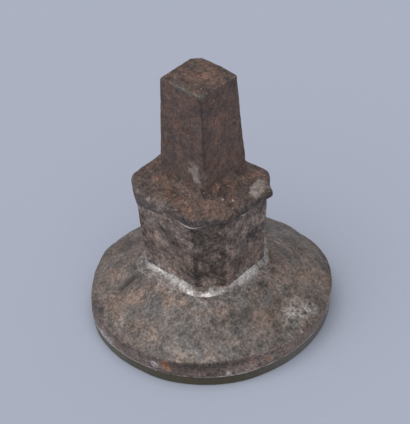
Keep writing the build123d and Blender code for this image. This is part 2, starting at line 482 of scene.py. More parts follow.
# Tang forging: rivet and tenon out of sight, then collar with a hammered lip, then the square tang
tang = {
    "around": 416, "slopeRows": 16, "sideRows": 72, "topRows": 24,
    "rivetHead": 4.6, "rivet": 3.0, "tenon": 3.5,
    "lipSharpness": 50, "tangSharpness": 120, "wearSharpness": 30,
    # distance of each flat of the lip, facing as on the neck
    "lip": (8.72, 9.9, 9.02, 9.55, 8.4, 9.9, 8.9, 10.55),
    # bearing of each flat of the tang, and its distance at the foot and at the head
    "facings": (-90, -45, 0, 45, 90, 135, 180, -135),
    "foot": (4.4, 6.1, 4.42, 6.15, 4.4, 6.0, 4.5, 6.28),
    "head": (3.74, 5.2, 3.78, 5.3, 3.93, 4.8, 4.08, 5.45),
    # height of the lip's lower edge from the neck's top
    "lipRise": [
        (-150, 0.5), (-120, 0.4), (-98, 0.35), (-77, -0.05), (-60, -0.3), (-30, 0.3), (-10, 0),
        (20, -0.1), (45, -0.35), (60, -0.7), (80, -0.85), (100, -0.6), (135, -0.1), (160, -0.05),
        (180, 0),
    ],
    # how far the left side of the lip runs down the neck, as heights from the neck's top
    "lipTail": [
        (-174, 0), (-162, -0.35), (-150, -0.8), (-136, -1.1), (-122, -1.15), (-112, -1.1),
        (-98, -0.95), (-90, -0.8), (-84, -0.6), (-78, -0.3), (-72, 0.1), (-60, 0.5), (160, 0.5),
        (172, 0.2),
    ],
    "flushDrop": 0.8,  # a lip that runs down this far lies flush on the neck
    # height of the rounded shoulder above the lip, from the neck's top
    "shoulder": [
        (-180, 1.75), (-150, 1.65), (-136, 1.55), (-120, 1.4), (-90, 1.35), (-60, 1.35),
        (-30, 1.4), (0, 1.25), (25, 1), (45, 0.65), (60, 0.25), (80, 0.1), (100, 0.35),
        (135, 0.95), (160, 1.5),
    ],
    "lipWave": (0.09, 1.6), "riseWave": (0.07, 1.3), "tailWave": (0.05, 1.1),
    # shares of the side's height: rows, where an overhang stands out, and where burrs catch light
    "lipLevels": (0, 0.03, 0.07, 0.12, 0.2, 0.35, 0.5, 0.65, 0.8),
    "overhangBy": 0.06, "burrAt": (0.06, 0.15),
    "shoulderRound": 0.45, "shoulderShare": 0.2, "collarRise": 2.7, "collarFillet": 1.5,
    "neckLean": 0.05,  # how far the neck draws in for each mm below its top
    "nub": [(24.5, 5.0, 0.42)],  # bearing, half width in degrees and height of the lump on the lip
    "burrGlints": [(-63, 10, 0.95), (-11, 3.5, 0.9)],  # bearing, half width in degrees and brightness of the glint painted on each burr
    "burrReach": 0.08,
    # how far the head's edge lies below the top
    "headDrop": [
        (-135, 0), (-90, 0.02), (-45, 0.06), (0, 0.15), (30, 0.3), (45, 0.4), (60, 0.2), (80, 0),
    ],
    "headRound": 0.22, "rimDrop": 0.06, "topDrop": 0.04,
    # depth and width of dents and of grit, then depth, spacing and share of pits
    "dents": (0.045, 3.2), "grit": (0.025, 0.7), "pits": (0.07, 1.1, 0.5),
    "finePits": (0.6, 0.4),  # spacing and share
    # bearing, radius, height, size, then how much rustier and how much lighter
    "stains": [
        # lip and collar
        (-150, 8.1, 24.6, 1.2, -0.2, 0.1), (-135, 9, 24.3, 1.3, -0.4, -0.3),
        (-127, 6.5, 25.1, 0.9, 0.7, -0.3), (-120, 10, 23, 1.2, -0.4, 0.6),
        (-118, 5.7, 25, 0.7, 0.1, -0.4), (-118, 8.3, 24.5, 1, -0.3, 0),
        (-109, 9.6, 24.2, 0.8, -0.5, 0.5), (-106, 9, 22.9, 1.4, -0.4, 0.8),
        (-103, 9, 24.2, 0.9, -0.5, 0.8), (-102, 6.4, 25.1, 1, 0.8, -0.1),
        (-98, 8.3, 24.5, 0.9, -0.3, 0.2), (-97, 9, 23.6, 1, -0.4, 1), (-90, 8.7, 23.1, 1, -0.4, 1),
        (-80, 7, 24.9, 1, 0.7, -0.1), (-66, 9.7, 23.4, 0.9, -0.6, -0.4),
        (-65, 8.1, 24.6, 0.8, 0.7, 0.05), (-61, 8.9, 24.4, 0.9, 0.8, 0.5),
        (-47, 8.9, 24.4, 0.8, -0.3, 0.1), (-46.5, 6, 26.4, 0.6, -0.5, -0.9),
        (-46.5, 6.5, 25.7, 0.5, -0.5, -0.9), (-46, 7.4, 24.8, 0.8, 0.45, 0.15),
        (-33, 7.8, 24.7, 0.8, 0.45, 0.15), (-30, 5, 25.9, 1, 0.8, -0.1),
        (-22, 6.3, 25.2, 0.9, -0.2, -0.6), (-13, 6.9, 25, 0.7, 0.6, 0), (-5, 5.1, 26, 0.9, 0.7, 0),
        (-4, 7.4, 24.8, 0.9, -0.4, -0.1), (-4, 9.2, 23.9, 0.9, -0.6, 0.15),
        (5, 8.9, 23.1, 1.2, -0.1, 0.4), (9, 9, 23.5, 0.7, -0.6, -0.35),
        (11, 7, 24.9, 0.8, -0.3, -0.1), (24.5, 10, 23.4, 0.6, -0.5, -1),
        (45, 7.9, 24.5, 0.9, 0.7, 0.1), (46, 7, 25, 1, 0.1, 0.6),
        # tang
        (-122, 4.5, 39.4, 0.5, 0.8, 0.3), (-109, 4.4, 30.7, 1.2, -0.6, 0.2),
        (-106, 4.2, 35.3, 0.7, 0.4, 0), (-95, 4.4, 29, 2, 0, 0.25),
        # the two widest, at -8 and 0 degrees, lighten the right face with painted light
        (-72, 4.2, 34.7, 0.4, 0.8, 0.3), (-8, 4.3, 29.3, 2.5, 0.2, 0.5), (0, 4, 36, 4, 0.2, 0.5),
        # top
        (-163, 1.1, 42.1, 1, 0.6, 0.1), (-131, 4, 42.1, 0.9, -0.3, -0.2),
        (-33, 3.4, 42.1, 1, -0.4, -0.4), (35, 4.5, 42.1, 0.9, -0.4, -0.3),
        (61, 1.3, 42.1, 1.3, 0.5, 0),
    ],
    # dry pale crust, and further down single bright grains, painted as glints
    "pale": [
        (-120, 9.9, 24.1, 0.9, 0.3), (-110, 9.5, 24, 0.8, 0.42), (-108, 9.5, 23, 0.7, 0.45),
        (-103, 9, 24, 0.9, 0.42), (-100, 9, 22.6, 0.7, 0.55), (-97, 9, 23.2, 0.7, 0.55),
        (-94, 8.7, 23.6, 0.6, 0.45), (-90, 8.7, 22.6, 0.7, 0.6), (-82, 8.8, 22.6, 0.6, 0.5),
        (-64, 4.9, 28.9, 1.4, 0.9), (-56, 5.2, 27.6, 1, 0.8), (8, 8.3, 24.5, 0.8, 0.8),
        (18, 8.5, 24.4, 1.1, 0.95), (27, 8.7, 24.2, 1.1, 0.95), (31, 8.9, 24.6, 0.9, 0.8),
    ],
    "paleWave": (0.7, 0.8), "rustWave": (0.12, 2.4),
    "glintGrains": [
        (-69.5, 7.1, 24.8, 0.17, 0.7), (-51.7, 6.9, 24.9, 0.17, 0.6),
        (-25.6, 6.85, 24.95, 0.17, 0.65), (-14.2, 7.4, 24.7, 0.17, 0.6),
    ],
    # bearing, half width in degrees and strength of the rub along the head's edges
    "headEdges": [(-85, 45, 1.0), (-5, 30, 0.5), (-33, 14, 0.5)],
    # painted shade down the front edge: bearing, half width in degrees, where it starts, how far it
    # takes to grow
    "frontEdgeShade": (-45, 2.2, 29, 2),
    "cornerRub": 0.4, "headRub": 0.6, "lipRub": 0.25,
    "lipRust": -0.35, "topRust": 0.15,
    "cornerShade": -0.9, "collarShade": -0.15, "flushShade": 0.45, "topShade": -0.3,
    "bloomSize": 2.0, "mottleSize": 1.4, "speckSpacing": 0.9,
    "grainSize": 0.35,  # rust grains of about 0.1 mm, drawn coarser to show
    "darkScale": "#504643", "orangeRust": "#735649", "pitBlack": "#332c2a",
    "paleCrust": "#8d827d", "bareSteel": "#64645f", "glintWhite": "#d8d2cc",
}
angles = ringAngles(tang["around"])
tenon = outline(angles, squareFacings, [tang["tenon"]] * 4, neck["sharpness"])[0]
neckHead = outline(angles, neck["facings"], neck["head"], neck["sharpness"])[0]
tangFoot = outline(angles, tang["facings"], tang["foot"], tang["tangSharpness"])[0]
tangHead = outline(angles, tang["facings"], tang["head"], tang["tangSharpness"])[0]
cornerWear = outline(angles, tang["facings"], tang["head"], tang["wearSharpness"])[1]
lip = outline(angles, neck["facings"], tang["lip"], tang["lipSharpness"])[0]
lipPath = ringGrid(angles, [(lip, 0)])[0]
lip = lip + ripple(lipPath, tang["lipWave"], 21) + patches(angles, tang["nub"])
riseKeys = ("lipRise", "lipTail", "shoulder")
lipLow, tailLow, shoulder = (neckTop + roundTrip(angles, tang[key], passes=16) for key in riseKeys)
lipLow = lipLow + ripple(lipPath, tang["riseWave"], 25)
tailLow = np.minimum(tailLow + ripple(lipPath, tang["tailWave"], 27), lipLow)
flush = np.clip((lipLow - tailLow) / tang["flushDrop"], 0, 1)  # 0 where the lip overhangs
burr = patches(angles, tang["burrGlints"])
sideTop = shoulder - tang["shoulderRound"]
collarTop = neckTop + tang["collarRise"]
rivetHead, rivet = tang["rivetHead"], tang["rivet"]
rows = [(rivetHead, footBottom), (rivet, footBottom + rivetHead - rivet), (rivet, footTop),
        (tenon, footTop), (tenon, neckTop), (neckHead - 0.3, neckTop)]
seenRow = len(rows)  # here and below, the first row of what it names
rows.append((neckHead - 0.15, tailLow))
burrLow, burrHigh = tang["burrAt"]
edgeRows = []
for share in tang["lipLevels"]:
    height = tailLow + (sideTop - tailLow) * share
    side = neckHead - tang["neckLean"] * np.clip(neckTop - height, 0, None)  # the neck's own side
    stand = (1 - flush) * min(share / tang["overhangBy"], 1) + flush * (0.2 + 0.8 * share)
    onBurr = burrLow < share < burrHigh
    edgeRows += [len(rows)] * onBurr
    rows.append((side + (lip - side) * stand + tang["burrReach"] * burr * onBurr, height))
lipTop = (lip, shoulder)  # where the side and the slope would meet
slopeEnd = (tangFoot, collarTop)  # where the slope and the tang would meet
shoulderEnd = along(lipTop, slopeEnd, tang["shoulderShare"])
rows += [bend((lip, sideTop), lipTop, shoulderEnd, share) for share in np.linspace(0, 1, 9)]
slopeRow = len(rows)
rows += [along(lipTop, slopeEnd, share) for share in np.linspace(0.24, 0.68, tang["slopeRows"])]
filletStart = rows[-1]
headRound = tang["headRound"]
wallTop = tangTop - tang["rimDrop"] - roundTrip(angles, tang["headDrop"]) - headRound
filletEnd = along(slopeEnd, (tangHead, wallTop), tang["collarFillet"] / (wallTop - collarTop))
rows += [bend(filletStart, slopeEnd, filletEnd, share) for share in np.linspace(0.1, 1, 10)]
sideRow = len(rows)
sideShares = np.linspace(0.02, 1, tang["sideRows"])
rows += [along(filletEnd, (tangHead, wallTop), share) for share in sideShares]
for turn in np.radians(np.linspace(15, 80, 6)):
    rows.append((tangHead - headRound * (1 - math.cos(turn)), wallTop + headRound * math.sin(turn)))
topRow = len(rows)
edgeReach, edgeZ = rows[-1]
topZ = tangTop - tang["topDrop"]
for share in np.linspace(0.96, 0.03, tang["topRows"]):
    rows.append((edgeReach * share, topZ + (edgeZ - topZ) * share ** 3))
grid = ringGrid(angles, rows)
level = np.arange(len(rows))[:, None]
seen = (level >= seenRow) * 1.0
dents, pits = weathered(grid, tang, 11, seen)
grid = keepInside(pushOut(grid, dents * seen, looped=False), footReach)
onTang = np.clip((level - sideRow + 6) / 12, 0, 1) * (level < topRow)
onCollar = np.clip((sideRow - level) / 6, 0, 1)
onHeadEdge = (level >= topRow - 8) * (level < topRow + 2)
onTop = level >= topRow
onLip = seen * (level < slopeRow - 3)
headEdge = patches(angles, tang["headEdges"])
edgeFacing, edgeWidth, edgeStart, edgeGrowth = tang["frontEdgeShade"]
grown = np.clip((grid[..., 2] - edgeStart) / edgeGrowth, 0, 1)
frontEdgeShade = onTang * spot(bearing(angles, edgeFacing), edgeWidth) * grown
cornerRub = tang["cornerRub"] * onTang * np.clip(1.6 * cornerWear - 0.5, 0, 1) * (1 - frontEdgeShade)
rub = cornerRub + tang["headRub"] * headEdge * onHeadEdge + tang["lipRub"] * onLip
rust, shade = stained(grid, tang["stains"])
rust = rust + ripple(grid, tang["rustWave"], 18) + tang["lipRust"] * onLip + tang["topRust"] * onTop
# painted shade: a dark line down the tang's front edge
shade = shade + tang["cornerShade"] * frontEdgeShade + tang["collarShade"] * onCollar
shade = shade + tang["flushShade"] * flush * onLip + tang["topShade"] * onTop
pale = stained(grid, tang["pale"])[0] * np.clip(1 + ripple(grid, tang["paleWave"], 31), 0, 1.3)
fineSpacing, fineShare = tang["finePits"]
finePits = pitted(grid, fineSpacing, 14, fineShare) * onCollar
# dark pits, and the painted shade of the front edge
pitsAndEdgeShade = np.maximum.reduce([0.4 * pits, 0.75 * finePits, 0.3 * frontEdgeShade])
roughest = np.clip(onCollar + 0.7 * (level >= topRow - 3), 0, 1)
tangMarks = {
    "rust": rust, "shade": shade, "rub": np.clip(rub, 0, 1), "pale": pale,
    "burr": np.maximum(burr * np.isin(level, edgeRows), stained(grid, tang["glintGrains"])[0]),
    "pit": pitsAndEdgeShade * (1 - 0.8 * pale),
    "coarse": (0.6 + 0.3 * roughest) * (1 - 0.45 * pale),
}
makePiece("tang_forging", "tang", forgedIron(tang), grid, tangMarks)


# Solder bead in the corner between neck and foot; the foot takes its smear from the same values
bead = {
    "around": 400, "rows": 14,
    # width on the foot, smear beyond it, and rise of the crest above its usual height
    "width": [
        (-150, 0.6), (-134, 0.7), (-124, 1), (-90, 1.1), (-63, 1.2), (-50, 1.45), (-33, 1.05),
        (-10, 1), (20, 1), (60, 0.8), (135, 0.9), (180, 0.8),
    ],
    "smear": [
        (-150, 0.3), (-125, 0.6), (-110, 0.75), (-90, 0.8), (-70, 0.75), (-60, 0.4), (-46, 0.05),
        (-30, 0.4), (-10, 0.7), (12, 0.65), (22, 0.45), (30, 0.3), (45, 0.1), (90, 0.3),
    ],
    "smearReach": 1.3,  # how far on to the foot
    "rise": [
        (-170, -0.2), (-136, 0.15), (-125, 0.25), (-110, 0.1), (-60, 0.12), (-40, 0), (-20, 0),
        (5, 0.1), (20, 0.4), (35, 0.4), (90, 0), (150, 0),
    ],
    # where the clean run, a painted highlight, lies between foot (0) and neck (1), how wide it is,
    # and how bright
    "shineAt": [
        (-150, 0.9), (-125, 0.9), (-90, 0.62), (-72, 0.48), (-60, 0.45), (-54, 0.26), (-46, 0.25),
        (-33, 0.32), (-25, 0.5), (-10, 0.72), (4, 0.7), (14, 0.55), (25, 0.4), (50, 0.4),
        (135, 0.6),
    ],
    "shineWide": [
        (-150, 0.2), (-125, 0.34), (-110, 0.42), (-90, 0.5), (-72, 0.62), (-60, 0.5), (-54, 0.36),
        (-46, 0.34), (-33, 0.38), (-10, 0.45), (25, 0.5), (135, 0.4),
    ],
    "clean": [
        (-150, 0.2), (-133, 0.9), (-125, 0.95), (-110, 0.74), (-90, 0.68), (-70, 0.63), (-63, 0.6),
        (-59, 0.1), (-57, 0.3), (-54, 0.95), (-49, 1.05), (-44, 0.7), (-40, 0.4), (-34, 0.2),
        (-28, 0.35), (-22, 1.05), (4, 1.05), (12, 0.8), (18, 0.55), (25, 0.55), (32, 0.65),
        (45, 0.55), (180, 0.4),
    ],
    "lumps": (0.07, 1.1), "wander": (0.25, 1.6), "fleck": (0.5, 0.7),
    "neckShare": 0.07, "crownShare": 0.52, "tuck": 0.05,
    "cloudSize": 2.4, "grainSize": 0.35,  # frosting of about 0.1 mm, drawn coarser to show
    "silver": "#cfcbca", "dirt": "#6c615b",
}


# Foot: round disc with a short wall, a soft uneven ridge and a conical top
foot = {
    "around": 680, "wallRows": 12, "coneRows": 58,
    # radius of the ridge, which is knocked out of round
    "ridge": [
        (169, 18.1), (-178, 18.2), (-170, 18.4), (-154, 17.95), (-137, 17.9), (-128, 18),
        (-111, 17.85), (-93, 18.15), (-74, 18.4), (-54, 18.3), (-33, 17.8), (-18, 18.1),
        (-3, 18.15), (7, 18.3), (30, 18.5), (55, 18.55), (66, 18.65), (80, 18.15), (98, 18.15),
        (134, 18),
    ],
    "ridgeWave": (0.1, 2.2),
    # how far the rim draws in above and at the seal plate
    "rim": [
        (-150, 0), (-122, -0.03), (-106, -0.14), (-98, -0.22), (-82, -0.22), (-72, -0.02),
        (-42, 0), (-30, -0.1), (-18, -0.36), (-2, -0.46), (10, -0.42), (22, -0.3), (32, -0.1),
        (45, 0),
    ],
    "seam": 18.1, "ridgeHeight": 2.6, "ridgeRound": 0.45, "wallLean": 0.7,
    "land": 9.9, "landRound": 0.6, "underNeck": (9.0, 8.6, 8.2, 7.6), "hole": 3.05, "sink": 4.65,
    "reliefFrom": (9.6, 1.2),  # radius where dents begin, and how far they take to grow
    # depth and width of dents and of grit, then depth, spacing and share of pits
    "dents": (0.10, 5.0), "grit": (0.02, 0.6), "pits": (0.07, 1.1, 0.45),
    "finePits": (0.05, 0.75, 0.8),  # depth, spacing and share
    "gouge": (-122.8, 3.0, 0.5),  # bearing, half width in degrees and depth of a crease in the cone
    # radius, half length and strength along the crease
    "gougeRun": [(13.2, 0.8, 1.5), (12.2, 0.9, 0.6), (11.2, 0.7, 0.3)],
    "gougeWander": (1.1, 1.3), "gougeLip": (3, 1.4, 0.06),  # lip: degrees aside, half width, height
    # bearing and half width in degrees, then height, half height and depth
    "chip": (-69.3, 3.0, 3.1, 0.6, 0.3),
    # lightness and warmth round the wall, its right side lightened with painted floor light, and a
    # darker band under the ridge
    "wallShade": [
        (-150, 0), (-112, 0.2), (-98, 0), (-84, 0.2), (-72, 0), (-62, -0.3), (-49, -0.6),
        (-42, -0.2), (-37, 0.15), (-27, 0.5), (0, 0.8), (10, 0.9), (30, 0.8), (50, 0.3), (135, 0),
    ],
    "wallWarm": [
        (-150, 0.5), (-100, 0.7), (-75, 0.4), (-55, 0.1), (-42, 0.2), (-27, 0.6), (0, 0.9),
        (15, 0.8), (40, 0.6), (135, 0.4),
    ],
    "ridgeUnderDark": [(-120, 0.4), (-49, 0.6), (-27, 0.5), (-10, 0.25), (30, 0.2), (135, 0.4)],
    "ridgeUnderDarkAt": (3.9, 0.45),  # height and half height of the darker band below the ridge
    # bearing, half width in degrees and strength of painted shade on the ridge at the left and
    # right sides
    "sideRimShade": [(-147, 24, 1), (42, 26, 1)],
    "sideRimShadeStrength": 0.45, "ridgeRubAndGlint": 0.2,
    # bearing, half width in degrees and height of solder that ran up from the seam
    "solderRun": (-111, 9, 0.8),
    # bearing, radius, height, size, then how much warmer and how much lighter
    "stains": [
        # cone
        (-165, 12.8, 8.1, 1.3, 0, -0.4), (-165, 13, 8, 2.5, 0, -0.25),
        # the widest stains, at -140, -52 and 28 degrees, are painted light and shade: lighter left
        # and right, darker at the front
        (-147, 14.1, 7.2, 0.9, -0.6, -0.2), (-140, 14, 7.2, 4, 0, 0.22),
        (-139, 15.5, 6.3, 1.4, 0.6, 0.25), (-124, 17.7, 4.8, 0.9, -0.4, -0.5),
        (-121, 10.1, 9.8, 0.9, 0, 0.4), (-119, 15.8, 6, 1.4, 0.6, 0.3),
        (-118, 17.5, 5, 0.7, -1, -0.6), (-115, 12.2, 8.4, 0.8, 0.1, 0.4),
        (-112, 16.3, 5.7, 1.1, 0.1, 0.35), (-108, 11.9, 8.7, 1.3, 0, 0.45),
        (-106, 12.9, 8, 1.4, 1, 0.5), (-103, 16.2, 5.8, 1.3, 0.1, 0.7),
        (-101, 13.8, 7.4, 1.1, 0.1, 0.35), (-99, 14.7, 6.8, 1.2, -0.8, -0.1),
        (-98, 12, 8.6, 1.2, 0.1, 0.35), (-90, 9.9, 9.9, 1.2, 0.1, 0.5),
        (-88, 12.8, 8, 1.5, -0.5, 0.25), (-85, 17.2, 5.1, 0.8, 0.7, 0.1),
        (-83, 14.1, 7.2, 1.5, -0.2, -0.35), (-79, 11.2, 9.1, 1, 0.9, 0.35),
        (-78, 17, 5.2, 1.2, 0.1, 0.5), (-69, 10.8, 9.4, 0.8, 0.9, 0.35),
        (-69, 17.5, 4.9, 0.8, -0.2, -0.6), (-68, 12.7, 8.1, 0.4, 0, -0.5),
        (-68, 15.2, 6.5, 1, 0.1, -0.35), (-68, 17.7, 4.8, 0.6, -0.1, -0.4),
        (-63, 15, 6.6, 1, -0.6, 0.1), (-62, 10.9, 9.3, 0.6, -0.3, -0.5),
        # the wide light stain at -62 degrees near the ridge is a painted highlight
        (-62, 16.8, 5.4, 1.5, 0, 0.35), (-61, 12.4, 8.4, 1.1, 0, -0.4),
        (-54, 16.6, 5.6, 1.2, -0.6, -0.35), (-52, 11.9, 8.7, 0.9, 0.8, 0.1),
        (-52, 14.5, 6.9, 3.2, -0.1, -0.22), (-51, 13, 7.9, 0.8, 0.2, 0.35),
        (-42, 15.8, 6.1, 1.2, -0.3, -0.5), (-37, 12.3, 8.4, 0.8, 0.6, 0.1),
        (-36, 11, 9.3, 0.8, -0.1, -0.4), (-33, 14.5, 6.9, 0.9, -0.8, -0.1),
        (-31, 12.8, 8, 0.8, -0.3, -0.4), (-30, 14, 7.2, 3, -0.2, -0.25),
        (-29, 15.4, 6.3, 0.6, 0.1, -0.4), (-25, 14.1, 7.2, 1.8, -0.2, -0.6),
        (-22, 16.8, 5.4, 0.8, 0.1, -0.5), (-22, 11.3, 9.1, 0.8, -0.6, 0.3),
        (-19, 17.3, 5.1, 1.3, 0, -0.4), (-14, 14.6, 6.9, 1.6, 0.6, -0.1),
        (-13, 17.6, 4.8, 0.9, 0, -0.5), (-11, 17.1, 5.2, 0.8, -0.1, -0.5),
        (-10, 12.6, 8.2, 0.8, -0.3, -0.4), (-9, 15.6, 6.2, 1.3, 0.2, -0.4),
        (-3, 12.3, 8.4, 0.9, -0.8, -0.2), (-1, 10.3, 9.7, 0.9, -0.9, -0.6),
        (3, 17, 5.3, 0.9, -0.2, 0.6), (3, 15.7, 6.1, 1.9, -0.2, 1.1),
        (4, 13.1, 7.9, 1.2, 0.2, -0.3), (4, 13.1, 7.9, 0.9, 0.7, -0.1),
        (8, 12.1, 8.5, 1.1, 0.2, 0.4), (8, 17.6, 4.8, 0.8, -0.2, 0.5),
        (10, 12.4, 8.3, 0.8, 0.1, 0.4), (11, 14.9, 6.7, 1.1, -0.1, 0.8),
        (12, 13.9, 7.3, 0.9, 0, -0.5), (13, 16.6, 5.5, 1.4, -0.6, 1),
        (15, 17.5, 4.9, 1, -0.4, 0.8), (20, 13.5, 7.6, 0.8, 0.3, -0.3),
        (20, 10.4, 9.7, 0.8, 0, -0.4), (21, 10.3, 9.7, 0.6, -0.2, -0.6),
        (21, 15.2, 6.5, 0.6, 0.3, -0.3), (21, 15.2, 6.5, 1.5, 0.2, -0.4),
        (22, 17, 5.3, 0.9, 0.2, -0.4), (24, 12.2, 8.4, 0.4, 0, -0.6), (28, 13, 8, 3.2, 0, 0.28),
        (31, 13.9, 7.3, 1.4, 0.7, 0.1), (33, 16.3, 5.7, 0.9, 0.1, 0.4),
        (34, 11.5, 8.9, 1, 0.1, 0.4), (38, 15, 6.6, 2, 0.4, 0.25), (46, 11.3, 9, 1.2, -0.3, -0.3),
        (50, 10.6, 9.5, 1.2, 0, -0.5),
        # wall
        (-75, 18, 2.9, 0.8, 0.2, 0.9), (-73, 18.1, 3.4, 0.8, 0.5, 0.3),
        (-69.3, 18, 3.1, 0.9, 0.3, 0.8), (-69, 18, 2.9, 0.6, 0.2, 0.5),
        (-40, 18, 2.2, 0.7, 0.2, 0.6), (-28, 18.1, 2.6, 0.7, 0.4, 0.6),
        (-28, 18, 3.6, 0.7, 0.6, 0.8), (-21, 18, 3, 0.7, 0.6, 0.6),
    ],
    # where fine pits show
    "worn": [(3, 15.7, 6.1, 2.1, 1), (13, 16.6, 5.5, 1.6, 1), (11, 14.9, 6.7, 1.1, 0.8)],
    "rub": [
        (3, 15.7, 6.1, 1.9, 0.6), (13, 16.6, 5.5, 1.3, 0.5), (-75, 18.1, 2.9, 0.8, 1),
        (-40, 18.1, 2.2, 0.5, 0.9), (-16.5, 18.1, 2.8, 0.4, 0.8), (-112, 18.1, 2, 1.4, 0.8),
        # the small one at -28 degrees, on the ridge's crest, is a painted glint
        (-105, 18.1, 2, 1, 0.8), (-28, 17.7, 4.7, 0.35, 1),
    ],
    "rust": [(-69.3, 18, 3.1, 0.95, 1), (-28, 18.1, 3.6, 0.7, 0.75), (-21, 18.1, 3, 0.7, 0.65)],
    "hueSize": 4.5, "mottleSize": 4.5, "grainSize": 0.4,  # grit of 0.1 mm, drawn coarser to show
    "streak": 1.0, "tones": (0.4, 1.6), "curve": 1.0,
    "coolGrey": "#64605e", "tan": "#77665d", "paleIron": "#a39b97", "solderSmear": "#a8a1a0",
    "speck": "#453e3c", "orangeRust": "#8a6046",
}
angles = ringAngles(foot["around"])
ridge = roundTrip(angles, foot["ridge"])
ridge = ridge + ripple(ringGrid(angles, [(ridge, 0)])[0], foot["ridgeWave"], 41)
ridge = np.minimum(ridge, footReach / np.maximum(abs(np.cos(angles)), abs(np.sin(angles))))
ridgeZ = footBottom + foot["ridgeHeight"]
land, ridgeRound, landRound = (foot[key] for key in ("land", "ridgeRound", "landRound"))
hole, sink = foot["hole"], foot["sink"]
seam = foot["seam"] + roundTrip(angles, foot["rim"])
wallStart = (seam, footBottom + 0.04)
wallEnd = (seam + (ridge - seam) * foot["wallLean"], ridgeZ - ridgeRound)
coneRun = np.hypot(ridge - land, footTop - ridgeZ)
coneStart = along((ridge, ridgeZ), (land, footTop), ridgeRound / coneRun)
coneEnd = along((ridge, ridgeZ), (land, footTop), 1 - landRound / coneRun)
rows = [(sink, footBottom), (seam - 0.1, footBottom)]
rows += [along(wallStart, wallEnd, share) for share in np.linspace(0, 1, foot["wallRows"])]
rows += [bend(wallEnd, (ridge, ridgeZ), coneStart, share) for share in np.linspace(0.1, 1, 10)]
coneRow = len(rows)
rows += [along(coneStart, coneEnd, share) for share in np.linspace(0.02, 1, foot["coneRows"])]
landEnd = (land - landRound, footTop)
rows += [bend(coneEnd, (land, footTop), landEnd, share) for share in np.linspace(0.25, 1, 4)]
rows += [(reach, footTop) for reach in foot["underNeck"]]
holeRow = len(rows)
rows += [(hole, footTop), (hole, footBottom + sink - hole)]
grid = ringGrid(angles, rows)
level = np.arange(len(rows))[:, None]
radius = np.hypot(grid[..., 0], grid[..., 1])
height = grid[..., 2]
onWall, onCone = level < coneRow, level >= coneRow
reliefStart, reliefGrowth = foot["reliefFrom"]
grown = np.clip((radius - reliefStart) / reliefGrowth, 0, 1)
seen = ((level > 2) & (level < holeRow - 4)) * grown
dents, pits = weathered(grid, foot, 51, seen)
gougeFacing, gougeWidth, gougeDepth = foot["gouge"]
lipAside, lipWidth, lipHeight = foot["gougeLip"]
gougeRun = sum(strength * spot(radius - at, half) for at, half, strength in foot["gougeRun"])
gougeRun = np.clip(gougeRun * (1.1 + 0.4 * softNoise(grid, 0.9, 59)), 0, 1) * onCone
crooked = bearing(angles, gougeFacing) + ripple(grid, foot["gougeWander"], 57)
gouge = gougeRun * spot(crooked, gougeWidth)
gougeLip = gougeRun * spot(crooked + lipAside, lipWidth)
chipFacing, chipWidth, chipHeight, chipTall, chipDepth = foot["chip"]
chip = spot(bearing(angles, chipFacing), chipWidth) * spot(height - chipHeight, chipTall)
chip = chip * (level < coneRow + 3)
fineDepth, fineSpacing, fineShare = foot["finePits"]
finePits = np.clip(1.8 * pitted(grid, fineSpacing, 61, fineShare), 0, 1)
finePits = finePits * stained(grid, foot["worn"])[0]
dents = dents - fineDepth * finePits - gougeDepth * gouge + lipHeight * gougeLip - chipDepth * chip
grid = keepInside(pushOut(grid, dents * seen, looped=True), footReach)
height = grid[..., 2]
warm, shade = stained(grid, foot["stains"])
dirtHeight, dirtTall = foot["ridgeUnderDarkAt"]
ridgeUnderDark = roundTrip(angles, foot["ridgeUnderDark"]) * onWall * spot(height - dirtHeight, dirtTall)
sideRimShade = patches(angles, foot["sideRimShade"])
fromRidge = level - coneRow + 3  # rows from the middle of the ridge
lowWall = level < coneRow - 4
# painted light on the crease's raised lip and painted shade in the crease, with a darker band under
# the ridge
shade = np.clip(shade + 0.4 * gougeLip - gouge - ridgeUnderDark, -1, 1)
# painted light: the wall's right side lightened as if lit from the floor
shade = shade + roundTrip(angles, foot["wallShade"], passes=12) * lowWall
# painted shade on the ridge where it turns away at the left and right sides
shade = shade - foot["sideRimShadeStrength"] * sideRimShade * spot(fromRidge, 5)
warm = warm + roundTrip(angles, foot["wallWarm"], passes=12) * lowWall
# pale rub along the ridge's crest, partly a painted highlight
rub = stained(grid, foot["rub"])[0] + foot["ridgeRubAndGlint"] * spot(fromRidge, 4)
neckFoot = outline(angles, neck["facings"], neck["foot"], neck["sharpness"])[0]
pastBead = np.clip(radius - neckFoot - roundTrip(angles, bead["width"], passes=20) + 0.2, 0, None)
smear = roundTrip(angles, bead["smear"], passes=20) * spot(pastBead, bead["smearReach"]) * onCone
runFacing, runWidth, runTall = foot["solderRun"]
solderRun = spot(bearing(angles, runFacing), runWidth) * spot(height - footBottom, runTall) * onWall
footMarks = {
    "warm": warm, "shade": shade, "rub": np.clip(rub, 0, 1), "rust": stained(grid, foot["rust"])[0],
    "smear": np.maximum(smear, 0.75 * solderRun),
    # the pit colour also fills the crease as painted shade
    "pit": np.maximum.reduce([0.35 * pits, gouge, 0.9 * finePits]),
}
footFinish = patinatedIron("cast_iron_patinated", foot)
makePiece("foot_disc", "foot", footFinish, grid, footMarks, looped=True)


